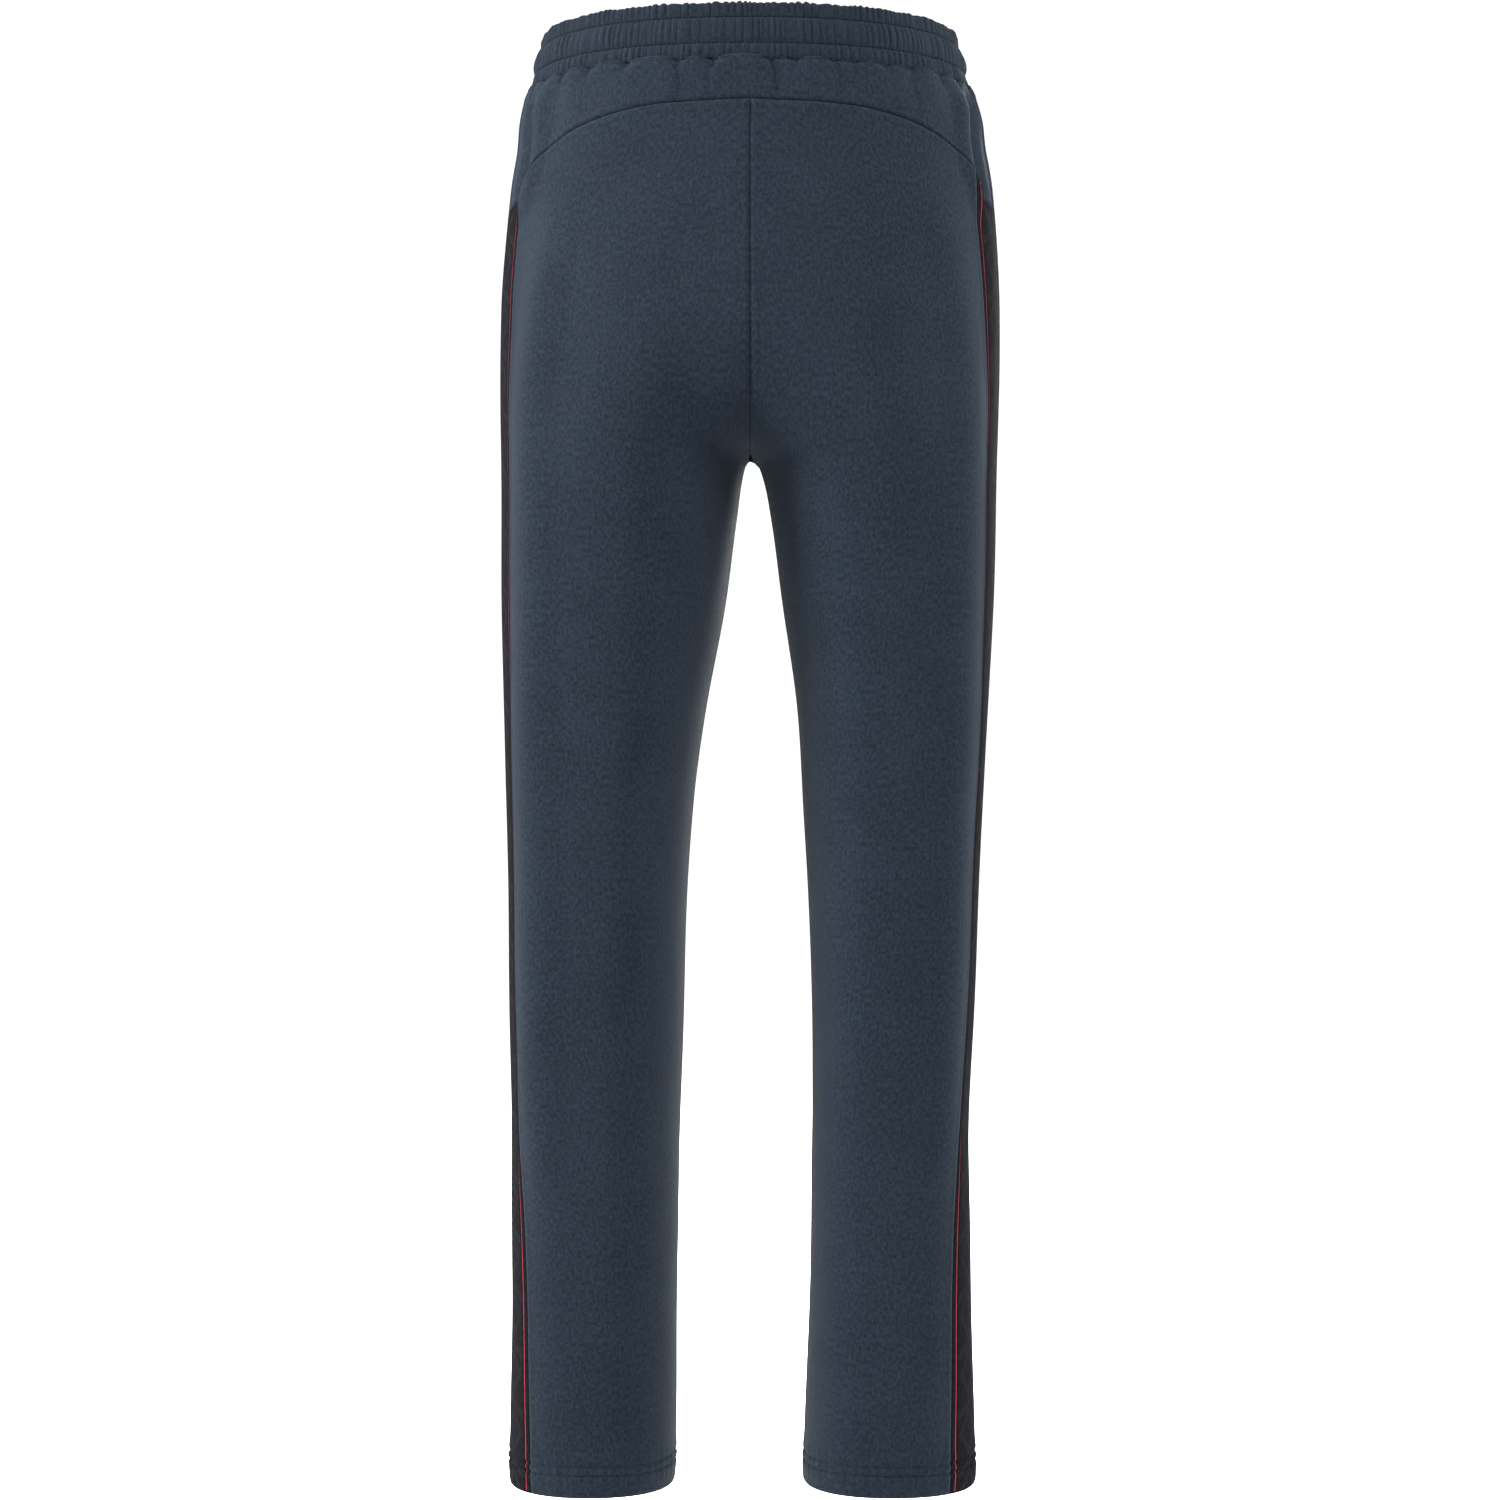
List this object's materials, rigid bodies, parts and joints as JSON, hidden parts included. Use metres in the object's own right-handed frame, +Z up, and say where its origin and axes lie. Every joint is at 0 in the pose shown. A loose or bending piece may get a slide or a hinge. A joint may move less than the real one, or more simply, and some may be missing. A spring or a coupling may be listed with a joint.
{
  "type": "training trousers",
  "caption": "Tapered knit training trousers with a shirred elastic waistband, curved back yoke, dark side tapes edged in red and zipped side pockets, standing open as worn.",
  "frame": {"origin": "middle of the waist opening, level with the waistband's top edge", "axes": "+Z up; the front of the trousers faces -Y; the wearer's left is +X"},
  "size_m": [0.3543, 0.2478, 1.0342],
  "materials": {
    "navy_knit": "dark navy double-knit polyester jersey, matt with a soft sheen",
    "waistband_knit": "the same navy knit, shirred over elastic",
    "side_tape_knit": "charcoal knitted tape with a faint outlined geometric motif",
    "red_stripe": "red yarn knitted into the tape",
    "elastic": "woven elastic, off-white",
    "label": "printed satin label left blank",
    "eyelet_metal": "dark plated eyelet",
    "zip_metal": "dark lacquered die-cast zinc",
    "zip_teeth": "nylon coil",
    "zip_tape_cloth": "woven zip tape",
    "pocketing": "thin warp-knit pocketing",
    "thread": "navy polyester sewing thread"
  },
  "bodies": {
    "hips": {"back_yoke": "navy_knit", "care_label": "label", "left_back_panel_seat": "navy_knit", "left_back_stripe_seat": "red_stripe", "left_drawcord_eyelet": "eyelet_metal", "left_front_panel_seat": "navy_knit", "left_front_stripe_seat": "red_stripe", "left_pocket_bag": "pocketing", "left_side_tape_seat": "side_tape_knit", "left_zip_chain": "zip_teeth", "left_zip_tape": "zip_tape_cloth", "right_back_panel_seat": "navy_knit", "right_back_stripe_seat": "red_stripe", "right_drawcord_eyelet": "eyelet_metal", "right_front_panel_seat": "navy_knit", "right_front_stripe_seat": "red_stripe", "right_pocket_bag": "pocketing", "right_side_tape_seat": "side_tape_knit", "right_zip_chain": "zip_teeth", "right_zip_tape": "zip_tape_cloth", "size_label": "label", "waist_elastic": "elastic", "waistband_casing": "waistband_knit", "waistband_lower_stitching": "thread", "waistband_upper_stitching": "thread"},
    "left_leg": {"left_back_panel_leg": "navy_knit", "left_back_stripe_leg": "red_stripe", "left_front_panel_leg": "navy_knit", "left_front_stripe_leg": "red_stripe", "left_hem_lower_stitching": "thread", "left_hem_upper_stitching": "thread", "left_side_tape_leg": "side_tape_knit"},
    "right_leg": {"right_back_panel_leg": "navy_knit", "right_back_stripe_leg": "red_stripe", "right_front_panel_leg": "navy_knit", "right_front_stripe_leg": "red_stripe", "right_hem_lower_stitching": "thread", "right_hem_upper_stitching": "thread", "right_side_tape_leg": "side_tape_knit"},
    "left_zip_slider": {"left_zip_slider": "zip_metal"},
    "left_zip_puller": {"left_zip_puller": "zip_metal"},
    "right_zip_slider": {"right_zip_slider": "zip_metal"},
    "right_zip_puller": {"right_zip_puller": "zip_metal"}
  },
  "joints": [
    {"name": "left_hip", "type": "hinge", "parent": "hips", "child": "left_leg", "pos_m": [0.089, 0, -0.32], "axis": [-1, 0, 0], "range_deg": [-20, 50]},
    {"name": "left_zip_travel", "type": "slide", "parent": "hips", "child": "left_zip_slider", "axis": [0.1465, -0.0117, -0.9891], "range_m": [0, 0.126]},
    {"name": "left_puller_lift", "type": "hinge", "parent": "left_zip_slider", "child": "left_zip_puller", "pos_m": [0.1328, -0.07077, -0.07013], "axis": [-0.7038, -0.7039, -0.096], "range_deg": [0, 150]},
    {"name": "right_hip", "type": "hinge", "parent": "hips", "child": "right_leg", "pos_m": [-0.089, 0, -0.32], "axis": [-1, 0, 0], "range_deg": [-20, 50]},
    {"name": "right_zip_travel", "type": "slide", "parent": "hips", "child": "right_zip_slider", "axis": [-0.1423, -0.0121, -0.9897], "range_m": [0, 0.126]},
    {"name": "right_puller_lift", "type": "hinge", "parent": "right_zip_slider", "child": "right_zip_puller", "pos_m": [-0.13383, -0.0707, -0.07014], "axis": [-0.7075, 0.7006, 0.0932], "range_deg": [0, 150]}
  ]
}
